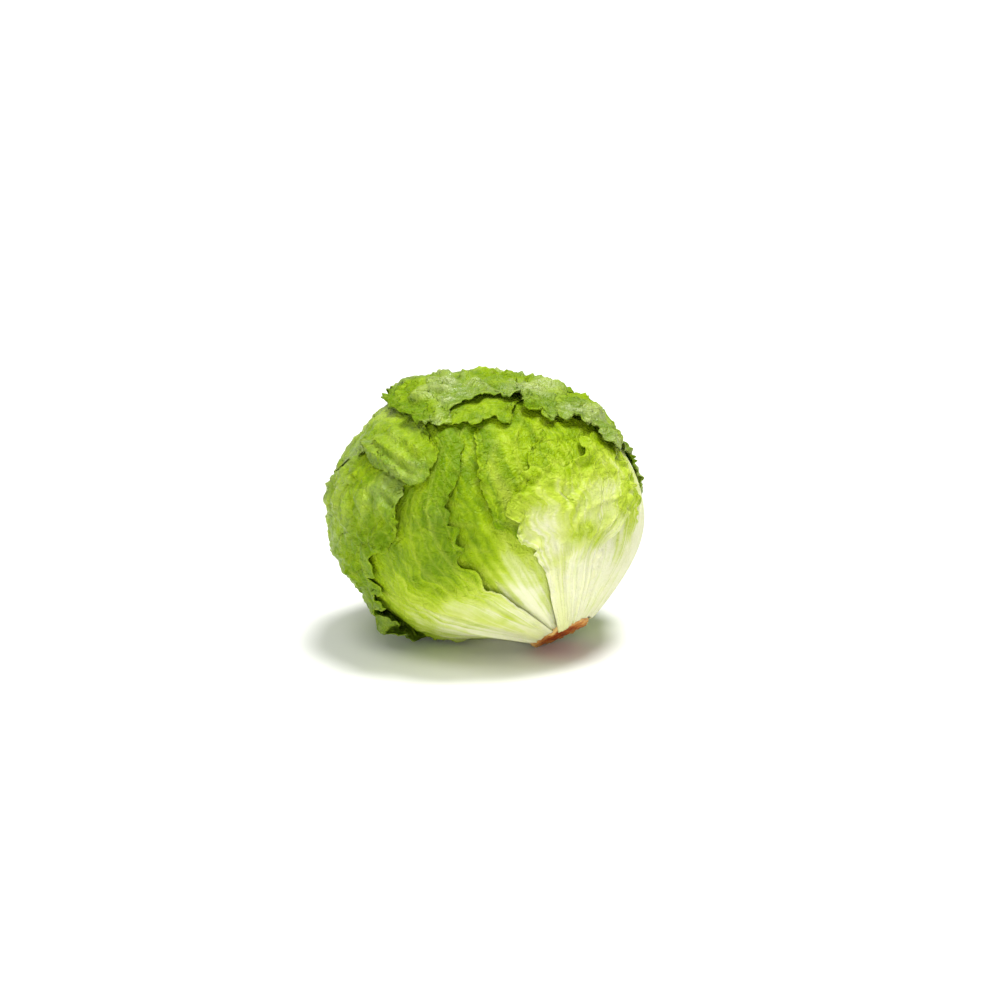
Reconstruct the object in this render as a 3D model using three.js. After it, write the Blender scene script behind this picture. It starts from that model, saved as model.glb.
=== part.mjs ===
// Iceberg lettuce, as cut and laid down: a tight heart of packed leaves, the cut stem that
// carries it, and twelve loose wrapper leaves that all grow from the stem and lie over each
// other. The head rests on a flattened spot of its underside, and the rim of the cut stem hangs
// half a millimetre clear of the surface.
//
// Millimetres, +Z up. The origin is the point of the resting surface below the middle of the
// head. The stem points down, to +X and towards -Y. Angles are in degrees: every place on the
// head is given by alpha, the angle from the stem's direction (180 is the top of the head),
// and psi, the angle round that axis (0 faces -Y and up, positive turns towards +X).

import * as THREE from "three";

// Driving dimensions
const HEAD_RADII = new THREE.Vector3(79, 76, 68); // half sizes of the head along X, Y, Z
const HEAD_HEIGHT = 66.5; // middle of the head above the resting surface
const STEM_DIRECTION = new THREE.Vector3(0.507, -0.409, -0.758).normalize();
const SAG = 0.8; // how far the underside has settled under the head's weight
const CUT_DISTANCE = 75.5; // cut face of the stem, from the middle of the head
const CUT_RADIUS = 16.3;
const CUT_SLOPE = 0.13; // of the knife cut, across the stem
const STEM_LENGTH = 12.5; // from the cut face in to the heart
const BLADE = 0.9; // leaf blade
const AIR = 1; // between one leaf and the next
const USUAL_STACK = 4.5; // height of the leaves that lie over each other on the heart
const NECK_RISE = 6.2; // the head runs out a little towards the stem
const RAMP = 21; // a leaf climbs over the edge of a lower one within this length
const EDGE_BAND = 9; // a leaf is thin and waved within this distance of its edge
const CELL = 9.8; // size of the facets of a leaf

const RAD = Math.PI / 180;
const MEAN_RADIUS = 76; // turns degrees on the head into millimetres
const MM_PER_DEGREE = MEAN_RADIUS * RAD;

const { sin, cos, min, max, exp, acos } = Math;
const clamp = THREE.MathUtils.clamp;
const smooth = (low, high, x) => THREE.MathUtils.smoothstep(x, low, high);

// The head's own axes: stem, then psi 0 (towards the front and up), then psi 90.
const VIEW_UP = new THREE.Vector3(0, -cos(15 * RAD), sin(15 * RAD));
const AXIS_FRONT = VIEW_UP.clone()
  .addScaledVector(STEM_DIRECTION, -VIEW_UP.dot(STEM_DIRECTION))
  .normalize();
const AXIS_SIDE = new THREE.Vector3().crossVectors(AXIS_FRONT, STEM_DIRECTION);

function direction(alpha, psi) {
  const a = alpha * RAD;
  const p = psi * RAD;
  return STEM_DIRECTION.clone()
    .multiplyScalar(cos(a))
    .addScaledVector(AXIS_FRONT, sin(a) * cos(p))
    .addScaledVector(AXIS_SIDE, sin(a) * sin(p));
}

const alphaOf = (d) => acos(clamp(d.dot(STEM_DIRECTION), -1, 1)) / RAD;

// Form of the head, which every leaf follows

const angleBetween = (a, b) => acos(clamp(a.dot(b), -1, 1)) / RAD;
const hump = (d, { at, height, reach }) =>
  height * exp(-((angleBetween(d, direction(...at)) / reach) ** 2));

// Where the head is fuller or flatter than an ellipsoid: place, height and reach in degrees.
const HUMPS = [
  { at: [149, -70], height: -2.5, reach: 16 },
  { at: [166, 10], height: 3, reach: 13 },
  { at: [118, 84], height: 1.4, reach: 15 },
  { at: [118, -62], height: 2, reach: 13 },
  { at: [88, -80], height: -1.5, reach: 14 },
  { at: [56, 92], height: 3.2, reach: 20 },
  { at: [70, 40], height: 1, reach: 18 },
  { at: [28, -92], height: -6.5, reach: 13 },
];

// Low waves that all layers share, so that they nest. They fade out towards the stem.
const WAVES = [
  { height: 0.6, along: new THREE.Vector3(5.1, 2.3, -3.4), phase: 0.4 },
  { height: 0.5, along: new THREE.Vector3(-3.2, 6.4, 4.1), phase: 1.9 },
  { height: 0.4, along: new THREE.Vector3(8.7, -5.6, 6.2), phase: 3.1 },
];

// Radius of the heart at d under a stack of leaves. Near the stem the leaves press in on each
// other, so that the outside stays even however many there are.
function heartRadius(d, stack) {
  const alpha = alphaOf(d);
  const ellipsoid = 1 / new THREE.Vector3().copy(d).divide(HEAD_RADII).length();
  const neck = NECK_RISE * exp(-((alpha / 24) ** 2));
  const waves = WAVES.reduce((sum, w) => sum + w.height * sin(w.along.dot(d) + w.phase), 0);
  const humps = HUMPS.reduce((sum, h) => sum + hump(d, h), 0);
  const pressed = 1 - 0.6 * smooth(22, 60, alpha);
  const held = USUAL_STACK + pressed * (stack - USUAL_STACK);
  return ellipsoid + neck + smooth(35, 90, alpha) * waves + humps - held;
}

// Wrapper leaves
// From the innermost to the outermost. margin lists the edge's knots as [alpha, psi], from one
// side of the base, round the tip and back to the base; corners are the two knots between which
// the edge counts as the tip. rib is how far the midrib stands out and where it runs out from
// the base to, and ruffle how far the free edge stands out. lift is where a free end hangs off.
const BASE = 13.3; // alpha at which every leaf meets the stem

const LEAVES = [
  {
    name: "leaf_front",
    margin: [[BASE, -38], [30, -45], [55, -43], [85, -38], [111, -30], [131, -4],
      [112, 25], [85, 32], [55, 30], [30, 32], [BASE, 30]],
    corners: [4, 6], rib: { height: 2.4, to: [105, -2] }, ruffle: 2.5,
  },
  {
    name: "leaf_right",
    margin: [[BASE, 50], [30, 45], [55, 45], [80, 48], [102, 60], [115, 85],
      [103, 112], [80, 124], [55, 124], [30, 120], [BASE, 112]],
    corners: [4, 6], rib: { height: 3, to: [100, 84] }, ruffle: 2,
  },
  {
    name: "leaf_under",
    margin: [[BASE, -128], [30, -138], [55, -136], [80, -128], [100, -112], [111, -93],
      [101, -72], [80, -58], [55, -53], [30, -50], [BASE, -58]],
    corners: [4, 6], rib: { height: 2.6, to: [95, -94] }, ruffle: 2,
  },
  {
    name: "leaf_back",
    margin: [[BASE, 130], [30, 124], [55, 120], [80, 122], [106, 132], [121, 160],
      [107, 198], [80, 212], [55, 212], [30, 206], [BASE, 198]],
    corners: [4, 6], rib: { height: 2.6, to: [105, 160] }, ruffle: 2,
  },
  {
    name: "leaf_left_front",
    margin: [[BASE, -84], [30, -92], [50, -100], [75, -102], [98, -88], [118, -56], [129, -20],
      [113, 8], [100, 4], [89, -7], [80, -12], [73, -13], [66, -17], [53, -19], [45, -15],
      [29, -11], [BASE, -8]],
    corners: [4, 7], rib: { height: 3, to: [100, -80] }, ruffle: 4.5,
  },
  {
    name: "leaf_centre",
    margin: [[BASE, 6], [33, 12], [45, 15], [55, 12], [61, 6], [66, 1], [72, 1], [78, 1],
      [87, 3], [95, 6], [108, 13], [118, 32], [110, 55], [95, 68], [75, 64], [50, 52],
      [30, 44], [BASE, 36]],
    corners: [10, 12], rib: { height: 1.6, to: [100, 30] }, ruffle: 2.5,
  },
  {
    name: "leaf_right_front",
    margin: [[BASE, 22], [30, 20], [50, 20], [75, 22], [92, 30], [98, 50], [91, 70],
      [75, 76], [60, 74], [43, 73], [34, 69], [25, 62], [BASE, 62]],
    corners: [4, 6], rib: { height: 1.8, to: [85, 48] }, ruffle: 2,
  },
  {
    name: "leaf_centre_right",
    margin: [[BASE, -2], [20, 3], [33, 7], [45, 10], [52, 8], [60, 6], [66, 4], [72, 6],
      [79, 14], [85, 25], [80, 38], [86, 50], [83, 62], [73, 69], [61, 66], [52, 56],
      [45, 44], [30, 42], [BASE, 42]],
    corners: [8, 12], rib: { height: 3.4, to: [88, 38] }, ruffle: 4.5,
  },
  {
    name: "leaf_left",
    margin: [[BASE, -175], [30, -178], [50, -175], [75, -165], [100, -150], [125, -125],
      [142, -95], [146, -60], [142, -36], [128, -22], [112, -14], [103, -17], [97, -24],
      [91, -31], [86, -38], [84, -47], [81, -56], [75, -69], [69, -82], [63, -98],
      [50, -120], [30, -132], [BASE, -138]],
    corners: [6, 10], rib: { height: 2.4, to: [125, -120] }, ruffle: 3.5,
    lift: { at: [74, -80], height: 9, reach: 10 },
  },
  {
    name: "leaf_shoulder",
    margin: [[BASE, -190], [40, -196], [80, -200], [120, -205], [150, -240], [160, -330],
      [142, -362], [128, -368], [114, -364], [104, -366], [98, -373], [103, -379],
      [109, -383], [117, -388], [128, -394], [136, -402], [132, -440], [115, -480],
      [84, -505], [40, -515], [BASE, -520]],
    corners: [5, 13], rib: { height: 1.8, to: [150, -190] }, ruffle: 3.5,
  },
  {
    name: "leaf_crown_inner",
    margin: [[BASE, 176], [40, 184], [80, 194], [120, 206], [156, 216], [172, 300], [150, 345],
      [117, 366], [111, 372], [107, 382], [106, 386], [112, 395], [119, 416], [124, 443],
      [116, 474], [80, 490], [40, 500], [BASE, 506]],
    corners: [7, 11], rib: { height: 1.8, to: [160, 150] }, ruffle: 4.5,
  },
  {
    name: "leaf_crown",
    margin: [[BASE, 128], [35, 126], [60, 116], [72, 93], [86, 76], [84, 62], [93, 58], [97, 46],
      [103, 41], [113, 42], [118, 36], [124, 21], [118, 6], [116, -2], [124, -8], [134, -10],
      [148, -24], [162, -32], [169, -140], [147, -170], [115, -186], [80, -190], [40, -193],
      [BASE, -195]],
    corners: [4, 14], rib: { height: 2, to: [165, 120] }, ruffle: 3.5,
  },
];

// A leaf is drawn on a flat map of the head round its own middle: distances and bearings from
// that middle are true on it, and x and y are in degrees.
function mapRound(middle) {
  const east = new THREE.Vector3().crossVectors(STEM_DIRECTION, middle).normalize();
  const away = new THREE.Vector3().crossVectors(east, middle);
  return {
    toMap(d) {
      const far = acos(clamp(d.dot(middle), -1, 1)) / RAD;
      const x = d.dot(east);
      const y = d.dot(away);
      const size = Math.hypot(x, y) || 1;
      return new THREE.Vector2((far * x) / size, (far * y) / size);
    },
    toHead(p) {
      const far = p.length();
      if (far < 1e-9) return middle.clone();
      return middle.clone().multiplyScalar(cos(far * RAD))
        .addScaledVector(east, (sin(far * RAD) * p.x) / far)
        .addScaledVector(away, (sin(far * RAD) * p.y) / far);
    },
  };
}

// How far along a polyline on the map each of its points lies, measured on the head in mm.
function runOf(points, map) {
  const run = [0];
  for (let i = 1; i < points.length; i++)
    run.push(run[i - 1] + MM_PER_DEGREE * angleBetween(...[i - 1, i].map((k) => map.toHead(points[k]))));
  return run;
}

// Points evenly spaced along a polyline.
function evenly(points, count, map) {
  const run = runOf(points, map);
  const made = [];
  for (let k = 0, i = 0; k < count; k++) {
    const want = (run.at(-1) * k) / (count - 1);
    while (i < points.length - 2 && run[i + 1] < want) i++;
    const share = clamp((want - run[i]) / (run[i + 1] - run[i] || 1), 0, 1);
    made.push(points[i].clone().lerp(points[i + 1], share));
  }
  return made;
}

const PER_KNOT = 8; // points of the edge between two knots
const LOBE_DEPTH = 3; // degrees that the edge is cut in between its lobes
const LOBE_LENGTH = 18; // degrees from lobe to lobe

// The leaf's edge on its map: smooth for laying other leaves over it, and lobed as it is cut.
function prepare(leaf) {
  const knots = leaf.margin.map(([a, p]) => direction(a, p));
  const middle = knots.reduce((sum, d) => sum.add(d), new THREE.Vector3()).normalize();
  leaf.map = mapRound(middle);
  const curve = new THREE.SplineCurve(knots.map(leaf.map.toMap));
  const steps = (knots.length - 1) * PER_KNOT;
  leaf.edge = curve.getPoints(steps);
  const [left, right] = [leaf.margin[0][1], leaf.margin.at(-1)[1]];
  leaf.base = [...Array(9).keys()].map((i) =>
    leaf.map.toMap(direction(BASE, right + (nearestTurn(left, right) - right) * (i / 8))));
  leaf.inside = [...leaf.edge, leaf.map.toMap(STEM_DIRECTION)];
  leaf.ribStart = leaf.base[4];
  leaf.ribRun = leaf.map.toMap(direction(...leaf.rib.to)).sub(leaf.ribStart);
  const turn = Math.sign(THREE.ShapeUtils.area(leaf.inside));
  let run = 0;
  leaf.lobed = leaf.edge.map((p, i) => {
    const before = leaf.edge[max(i - 1, 0)];
    const after = leaf.edge[min(i + 1, steps)];
    run += p.distanceTo(before);
    const inward = new THREE.Vector2(before.y - after.y, after.x - before.x).normalize();
    const free = smooth(0, 0.2, i / steps) * smooth(0, 0.2, 1 - i / steps);
    const cut = 0.5 - 0.5 * cos((360 / LOBE_LENGTH) * run * RAD + 1.3 * sin(run * 0.11));
    return p.clone().addScaledVector(inward, turn * free * LOBE_DEPTH * cut);
  });
}

// psi turned by whole turns until it is within half a turn of near.
const nearestTurn = (psi, near) => psi + 360 * Math.round((near - psi) / 360);

function segmentDistance(p, a, b) {
  const dx = b.x - a.x;
  const dy = b.y - a.y;
  const along = clamp(((p.x - a.x) * dx + (p.y - a.y) * dy) / (dx * dx + dy * dy || 1), 0, 1);
  return Math.hypot(p.x - a.x - along * dx, p.y - a.y - along * dy);
}

// How far d lies in from the leaf's edge, in mm, and negative outside.
function fromEdge(leaf, d) {
  const p = leaf.map.toMap(d);
  let nearest = Infinity;
  for (let i = 1; i < leaf.edge.length; i++)
    nearest = min(nearest, segmentDistance(p, leaf.edge[i - 1], leaf.edge[i]));
  let inside = false;
  for (let i = 0, j = leaf.inside.length - 1; i < leaf.inside.length; j = i++) {
    const [a, b] = [leaf.inside[i], leaf.inside[j]];
    if (a.y > p.y !== b.y > p.y && p.x < ((b.x - a.x) * (p.y - a.y)) / (b.y - a.y) + a.x)
      inside = !inside;
  }
  return (inside ? 1 : -1) * nearest * MM_PER_DEGREE;
}

const BASE_SWELL = 1.2; // leaves are this much thicker where they leave the stem
const RIB_WIDTH = 5.5; // half the width of a midrib, halfway along it
const BRIDGED = 1.8; // the leaf above a rib bridges this many times its width

// Leaf thickness at d. The midrib runs straight on the map from the base to the tip; spread
// widens it, for the way the leaf above bridges it.
function thickness(leaf, d, inFromEdge, spread) {
  const p = leaf.map.toMap(d).sub(leaf.ribStart);
  const along = clamp(p.dot(leaf.ribRun) / leaf.ribRun.lengthSq(), 0, 1);
  const aside = p.addScaledVector(leaf.ribRun, -along).length() * MM_PER_DEGREE;
  const width = RIB_WIDTH * spread * (1.35 - 0.6 * along);
  const rib = leaf.rib.height * (1 - along) ** 1.3 * exp(-((aside / width) ** 2));
  const fleshy = BASE_SWELL * (1 - smooth(BASE, 48, alphaOf(d)));
  return BLADE + smooth(0, EDGE_BAND, inFromEdge) * (rib + fleshy);
}

// The stack of leaves over d: for each leaf the height of its inner face over the heart, how
// much the leaves above cover it there, and the height of the whole stack. A leaf counts out
// to RAMP beyond its edge, less and less, so that the one above comes down gently beside it.
function stackAt(d) {
  const layers = [];
  let top = 0;
  for (const leaf of LEAVES) {
    const inFromEdge = fromEdge(leaf, d);
    const cover = smooth(-RAMP, 0, inFromEdge);
    const inner = top + AIR;
    top = max(top, cover * (inner + thickness(leaf, d, inFromEdge, BRIDGED)));
    layers.push({ inner, cover, inFromEdge });
  }
  let above = 0;
  for (const layer of layers.toReversed()) {
    layer.covered = above;
    above = max(above, layer.cover);
  }
  return { layers, top };
}

// Raises p from the head's middle to its place over the resting surface. The underside sags a
// little, and what would reach below the surface is pressed flat on it, each layer on the next.
function lay(p, d, under) {
  p.z += HEAD_HEIGHT - SAG * smooth(0.88, 0.98, -d.z);
  if (d.z < -0.5) p.z = max(p.z, under);
  return p;
}

// A point at a height over the heart.
function place(d, height, stackTop, under) {
  return lay(d.clone().multiplyScalar(heartRadius(d, stackTop) + height), d, under);
}

// How far the free edge is waved outwards at d. Nothing of it reaches under a leaf above.
function ruffle(leaf, d, layer) {
  const near = exp(-((max(layer.inFromEdge, 0) / EDGE_BAND) ** 2));
  const wave = 0.5 + 0.5 * sin(17 * d.x + 13 * d.y - 15 * d.z + 3 * sin(9 * d.z - 7 * d.x));
  const free = (1 - layer.covered) ** 2 * smooth(28, 60, alphaOf(d));
  return free * (leaf.ruffle * near * wave + (leaf.lift ? hump(d, leaf.lift) : 0));
}

// The leaf's grid of directions, blended across its map from its two sides, its base and its tip.
function gridOf(leaf) {
  const [first, last] = leaf.corners.map((k) => k * PER_KNOT);
  const sides = [leaf.lobed.slice(0, first + 1), leaf.lobed.slice(last).reverse()];
  const end = leaf.lobed.slice(first, last + 1);
  const halfway = sides.map((side) => side[Math.round(side.length * 0.6)]);
  const cells = (...lines) =>
    Math.ceil(max(...lines.map((points) => runOf(points, leaf.map).at(-1))) / CELL);
  const rows = cells(...sides);
  const columns = cells(end, halfway);
  const [left, right] = sides.map((side) => evenly(side, rows + 1, leaf.map));
  const tip = evenly(end, columns + 1, leaf.map);
  const base = evenly([...leaf.base].reverse(), columns + 1, leaf.map);
  const mixed = (a, b, t) => a.clone().lerp(b, t);
  return [...Array(rows + 1).keys()].map((i) =>
    [...Array(columns + 1).keys()].map((j) => {
      const u = i / rows;
      const v = j / columns;
      const across = mixed(left[i], right[i], v);
      const along = mixed(base[j], tip[j], u);
      const corner = mixed(mixed(left[0], right[0], v), mixed(left[rows], right[rows], v), u);
      return leaf.map.toHead(across.add(along).sub(corner));
    }));
}

// A leaf as one closed skin: outer face, inner face and the strip round the edge.
function leafGeometry(leaf) {
  const grid = gridOf(leaf);
  const rows = grid.length - 1;
  const columns = grid[0].length - 1;
  const index = LEAVES.indexOf(leaf);
  const outer = [];
  const inner = [];
  for (const d of grid.flat()) {
    const { layers, top } = stackAt(d);
    const layer = layers[index];
    const thick = thickness(leaf, d, layer.inFromEdge, 1);
    const low = layer.inner + ruffle(leaf, d, layer);
    const under = max(0, top - low - thick) * smooth(0.3, 0.95, layer.covered);
    inner.push(place(d, low, top, under + thick));
    outer.push(place(d, low + thick, top, under));
  }
  const count = outer.length;
  const at = (i, j) => i * (columns + 1) + j;
  const faces = [];
  for (let i = 0; i < rows; i++)
    for (let j = 0; j < columns; j++) {
      const [a, b, c, e] = [at(i, j), at(i, j + 1), at(i + 1, j + 1), at(i + 1, j)];
      faces.push([a, b, c], [a, c, e]);
      faces.push([a + count, c + count, b + count], [a + count, e + count, c + count]);
    }
  const rim = [];
  for (let j = 0; j < columns; j++) rim.push(at(0, j));
  for (let i = 0; i < rows; i++) rim.push(at(i, columns));
  for (let j = columns; j > 0; j--) rim.push(at(rows, j));
  for (let i = rows; i > 0; i--) rim.push(at(i, 0));
  rim.forEach((a, k) => {
    const b = rim[(k + 1) % rim.length];
    faces.push([a, b + count, b], [a, a + count, b + count]);
  });
  return geometryFrom([...outer, ...inner], faces);
}

// An indexed geometry, turned so that its faces point out.
function geometryFrom(points, faces) {
  const volume = faces.reduce((sum, [a, b, c]) =>
    sum + points[a].dot(new THREE.Vector3().crossVectors(points[b], points[c])), 0);
  const turned = volume < 0 ? faces.map(([a, b, c]) => [a, c, b]) : faces;
  const geometry = new THREE.BufferGeometry().setFromPoints(points);
  geometry.setIndex(turned.flat());
  geometry.computeVertexNormals();
  return geometry;
}

// Heart: a closed body whose surface steps down at the edge of each of its packed leaves, and
// which ends in a flat seat for the stem.
const HEART_ROWS = 24; // facets from the stem to the top
const HEART_COLUMNS = 40; // facets round the head
const HEART_WRAPS = 5; // packed leaves that show their edges, round the head
const HEART_STEP = 1.5; // down at such an edge
const HEART_AIR = 0.4;

function heartGeometry() {
  const [rows, columns] = [HEART_ROWS, HEART_COLUMNS];
  const seat = CUT_DISTANCE - STEM_LENGTH;
  const points = [];
  const surface = (alpha, psi) => {
    const d = direction(alpha, psi);
    const wrap = (HEART_WRAPS * psi) / 360 + 0.45 * sin(alpha * RAD * 1.7) + 10;
    const shown = smooth(20, 60, alpha) * (1 - smooth(140, 175, alpha));
    const step = HEART_AIR + HEART_STEP * (1 - (wrap % 1)) * shown;
    const { top } = stackAt(d);
    const flat = alpha < 60 ? seat / cos(alpha * RAD) : Infinity;
    const radius = min(heartRadius(d, top) - step, flat);
    return lay(d.clone().multiplyScalar(radius), d, top);
  };
  points.push(surface(0, 0));
  for (let i = 1; i < rows; i++)
    for (let j = 0; j < columns; j++) points.push(surface((180 * i) / rows, (360 * j) / columns));
  points.push(surface(180, 0));
  const at = (i, j) => 1 + (i - 1) * columns + (j % columns);
  const faces = [];
  for (let j = 0; j < columns; j++) {
    faces.push([0, at(1, j), at(1, j + 1)]);
    for (let i = 1; i < rows - 1; i++) {
      faces.push([at(i, j), at(i + 1, j), at(i + 1, j + 1)]);
      faces.push([at(i, j), at(i + 1, j + 1), at(i, j + 1)]);
    }
    faces.push([at(rows - 1, j), points.length - 1, at(rows - 1, j + 1)]);
  }
  return geometryFrom(points, faces);
}

// Stem: a short plug that widens towards the knife cut, which runs a little askew and is
// slightly domed, with a worn rim.
const SEAT_GAP = 0.4;
const STEM_SIDES = 28;

function stemGeometry() {
  const widen = CUT_RADIUS / CUT_DISTANCE;
  const inside = CUT_DISTANCE - STEM_LENGTH + SEAT_GAP;
  const profile = [
    [0, inside], [widen * inside - 0.6, inside], [widen * (CUT_DISTANCE - 3), CUT_DISTANCE - 3],
    [CUT_RADIUS, CUT_DISTANCE - 1.4], [CUT_RADIUS - 0.9, CUT_DISTANCE - 0.2],
    [CUT_RADIUS * 0.55, CUT_DISTANCE + 0.5], [0, CUT_DISTANCE + 0.2],
  ].map(([r, y]) => new THREE.Vector2(r, y));
  const geometry = new THREE.LatheGeometry(profile, STEM_SIDES);
  const position = geometry.getAttribute("position");
  for (let i = 0; i < position.count; i++) {
    const nearCut = smooth(inside + 4, CUT_DISTANCE - 3, position.getY(i));
    position.setY(i, position.getY(i) + nearCut * CUT_SLOPE * position.getX(i));
  }
  geometry.computeVertexNormals();
  return geometry;
}

// Materials
const finish = (color, roughness) =>
  new THREE.MeshStandardMaterial({ color, roughness, metalness: 0 });
const PALE_BLADE = finish("#cfdb8e", 0.5);
const GREEN_BLADE = finish("#8db82c", 0.5);
const HEART_FLESH = finish("#dbe6a4", 0.55);
const CUT_STEM = finish("#b0692f", 0.7);
const PALE_LEAVES = ["leaf_front", "leaf_right", "leaf_under", "leaf_right_front", "leaf_centre_right"];

// Assembly
LEAVES.forEach(prepare);

const lettuce = new THREE.Group();

function add(name, geometry, material) {
  const mesh = new THREE.Mesh(geometry, material);
  mesh.name = name;
  lettuce.add(mesh);
  return mesh;
}

add("heart", heartGeometry(), HEART_FLESH);

const stem = add("stem", stemGeometry(), CUT_STEM);
const stemAxes = new THREE.Matrix4().makeBasis(
  AXIS_SIDE, STEM_DIRECTION, new THREE.Vector3().crossVectors(AXIS_SIDE, STEM_DIRECTION));
stem.quaternion.setFromRotationMatrix(stemAxes);
stem.position.z = HEAD_HEIGHT;

for (const leaf of LEAVES)
  add(leaf.name, leafGeometry(leaf), PALE_LEAVES.includes(leaf.name) ? PALE_BLADE : GREEN_BLADE);

export default lettuce;
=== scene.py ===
# Iceberg lettuce: one head, cut and laid on its side, built piece by piece round the CAD frame.
# Shapes are worked out in millimetres about the middle of the head and turned to metres last.
import math

import bpy
import numpy as np
from mathutils import Matrix, Vector


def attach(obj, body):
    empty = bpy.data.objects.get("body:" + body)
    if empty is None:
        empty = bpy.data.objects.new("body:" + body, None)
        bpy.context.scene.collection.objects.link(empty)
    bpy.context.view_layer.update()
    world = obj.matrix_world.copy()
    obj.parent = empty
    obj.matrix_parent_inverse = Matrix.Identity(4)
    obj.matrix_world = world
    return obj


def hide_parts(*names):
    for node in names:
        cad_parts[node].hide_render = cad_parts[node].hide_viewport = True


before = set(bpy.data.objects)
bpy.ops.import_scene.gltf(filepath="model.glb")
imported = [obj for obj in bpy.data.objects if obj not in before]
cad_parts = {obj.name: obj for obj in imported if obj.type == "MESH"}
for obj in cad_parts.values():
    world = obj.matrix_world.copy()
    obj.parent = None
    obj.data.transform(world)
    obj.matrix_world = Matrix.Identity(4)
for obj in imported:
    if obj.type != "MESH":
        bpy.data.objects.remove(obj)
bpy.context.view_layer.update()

# Camera
# The head is seen from a little above, stem end low, as a cook would lay it on the board.
CAMERA_ELEVATION = math.radians(15)
CAMERA_DISTANCE = 1.15
VIEW_WIDTH = 0.511  # what the picture takes in at the head, in metres
SENSOR_WIDTH = 36  # of a full-frame camera, in mm
HEAD_HEIGHT = 66.5  # middle of the head above the surface, in mm
AIM_RIGHT = 0.0077  # the head sits a little left of the picture's middle
AIM_UP = 0.0041

towards = Vector((0, -math.cos(CAMERA_ELEVATION), math.sin(CAMERA_ELEVATION)))
across = Vector((1, 0, 0))
upright = towards.cross(across)
camera = bpy.data.objects.new("camera", bpy.data.cameras.new("camera"))
camera.data.sensor_width = SENSOR_WIDTH
camera.data.lens = SENSOR_WIDTH * CAMERA_DISTANCE / VIEW_WIDTH
aim = Vector((0, 0, HEAD_HEIGHT / 1000)) + AIM_RIGHT * across + AIM_UP * upright
camera.matrix_world = Matrix.Translation(aim + CAMERA_DISTANCE * towards) @ Matrix(
    (across, upright, towards)).transposed().to_4x4()
bpy.context.collection.objects.link(camera)
bpy.context.scene.camera = camera


# Form of the head
# A slightly flattened ball that runs out a little towards the stem and has settled under its own
# weight. The heart has this form and every leaf follows it.
STEM = np.array((0.507, -0.409, -0.758))
STEM /= np.linalg.norm(STEM)
FRONT = np.array(towards) - STEM * (np.array(towards) @ STEM)
FRONT /= np.linalg.norm(FRONT)
SIDE = np.cross(FRONT, STEM)
HEAD_RADII = np.array((79, 76, 68))  # half sizes along X, Y and Z, in mm
MEAN_RADIUS = 76  # turns degrees on the head into mm
MM_PER_DEGREE = math.radians(MEAN_RADIUS)
SAG = 0.8  # how far the underside has settled under the head's weight
NECK_RISE = 6.2  # the head runs out a little towards the stem
NECK_REACH = 24  # degrees from the stem
USUAL_STACK = 2.7  # height of the leaves that lie over each other on the heart
STACK_SHOWS = 0.6  # share of a higher stack that stands out of the head, away from the stem
SAGS = (0.88, 0.98)  # how far down the underside faces where its sag begins and is whole
FACES_DOWN = -0.5
FIELD_CELLS = 24  # cells of a random field before it repeats
FIELD_SHIFT = 100.3  # keeps places on the head off the corners of the cells
HUMPS = [(149, -70, -2.5, 16), (166, 10, 3, 13), (118, 84, 1.4, 15), (118, -62, 2, 13),
         (88, -80, -1.5, 14), (56, 92, 3.2, 20), (70, 40, 1, 18),
         (28, -92, -6.5, 13)]  # where the head is fuller or flatter: alpha, psi, height, reach
# Low waves that all layers share, so that they nest: height, direction and phase.
WAVES = [(0.6, (5.1, 2.3, -3.4), 0.4), (0.5, (-3.2, 6.4, 4.1), 1.9), (0.4, (8.7, -5.6, 6.2), 3.1)]


def smooth(low, high, x):
    t = np.clip((x - low) / (high - low), 0, 1)
    return t * t * (3 - 2 * t)


def direction(alpha, psi):
    """A place on the head: alpha degrees from the stem, psi degrees round it from the front."""
    a, p = np.radians(alpha)[..., None], np.radians(psi)[..., None]
    return np.cos(a) * STEM + np.sin(a) * (np.cos(p) * FRONT + np.sin(p) * SIDE)


def angle_between(a, b):
    return np.degrees(np.arccos(np.clip(np.sum(a * b, axis=-1), -1, 1)))


def hump(d, alpha, psi, height, reach):
    """Height at d of a round rise about a place, which fades out over its reach in degrees."""
    middle = direction(np.array(alpha), np.array(psi))
    return height * np.exp(-(angle_between(d, middle) / reach) ** 2)


def ripple(points, size, seed):
    """A smooth random field over points in mm, about -1 to 1, with lumps of this size."""
    slopes = np.random.default_rng(seed).normal(size=(FIELD_CELLS, FIELD_CELLS, FIELD_CELLS, 3))
    q = points / size + FIELD_SHIFT
    cell = np.floor(q).astype(int)
    f = q - cell
    w = f ** 3 * (f * (f * 6 - 15) + 10)
    total = 0
    for corner in np.ndindex(2, 2, 2):
        c = np.array(corner)
        at = (cell + c) % FIELD_CELLS
        slope = slopes[at[:, 0], at[:, 1], at[:, 2]]
        total = total + np.prod(np.where(c, w, 1 - w), axis=1) * np.sum(slope * (f - c), axis=1)
    return total


def heart_radius(d, stack):
    """The heart's radius under a stack of leaves, which press in on each other at the stem."""
    alpha = angle_between(d, STEM)
    ellipsoid = 1 / np.linalg.norm(d / HEAD_RADII, axis=1)
    neck = NECK_RISE * np.exp(-(alpha / NECK_REACH) ** 2)
    waves = sum(height * np.sin(d @ np.array(along) + phase) for height, along, phase in WAVES)
    humps = sum(hump(d, *h) for h in HUMPS)
    pressed = 1 - STACK_SHOWS * smooth(22, 60, alpha)
    held = USUAL_STACK + pressed * (stack - USUAL_STACK)
    return ellipsoid + neck + smooth(35, 90, alpha) * waves + humps - held


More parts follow.
